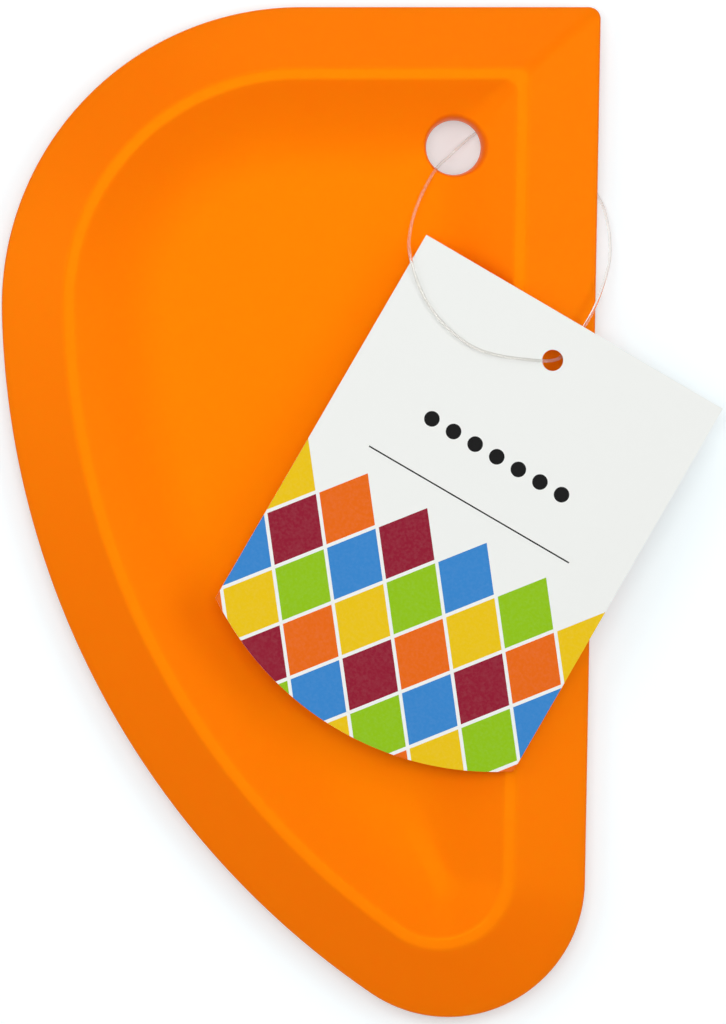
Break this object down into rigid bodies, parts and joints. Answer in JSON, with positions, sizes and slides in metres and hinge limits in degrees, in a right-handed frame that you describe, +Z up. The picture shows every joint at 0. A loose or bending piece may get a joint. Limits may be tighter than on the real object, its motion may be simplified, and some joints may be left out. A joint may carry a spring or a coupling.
{
  "type": "dough scraper",
  "caption": "Flat D-shaped soft dough and bowl scraper with a ridge, a shallow dish and a hanging hole, carrying a card hang tag on a clear loop.",
  "frame": {"origin": "under the middle of the scraper's outline, on the surface that it lies on", "axes": "+X across the scraper towards its straight side, +Y along it towards the straight top edge and the hanging hole, +Z up out of the face that shows the card"},
  "size_m": [0.1153, 0.1616, 0.0154],
  "materials": {
    "silicone": "matte orange silicone",
    "steel": "plain sheet steel",
    "card": "matt printed card",
    "nylon": "clear nylon"
  },
  "bodies": {
    "scraper": {"front_skin": "silicone", "back_skin": "silicone", "stiffener_core": "steel", "loop_edge_run": "nylon", "loop_hole_run": "nylon", "loop_socket": "nylon", "loop_barb": "nylon"},
    "loop": {"loop_front_run": "nylon"},
    "tag": {"hang_tag": "card"}
  },
  "joints": [
    {"name": "loop_swing", "type": "hinge", "parent": "scraper", "child": "loop", "pos_m": [0.0243, 0.0575, 0.0047], "axis": [-0.8523, 0.523, 0], "range_deg": [0, 90]},
    {"name": "tag_swivel", "type": "hinge", "parent": "loop", "child": "tag", "pos_m": [0.0401, 0.0242, 0.0108], "axis": [0.0785, 0, 0.9969], "range_deg": [-15, 15]}
  ]
}
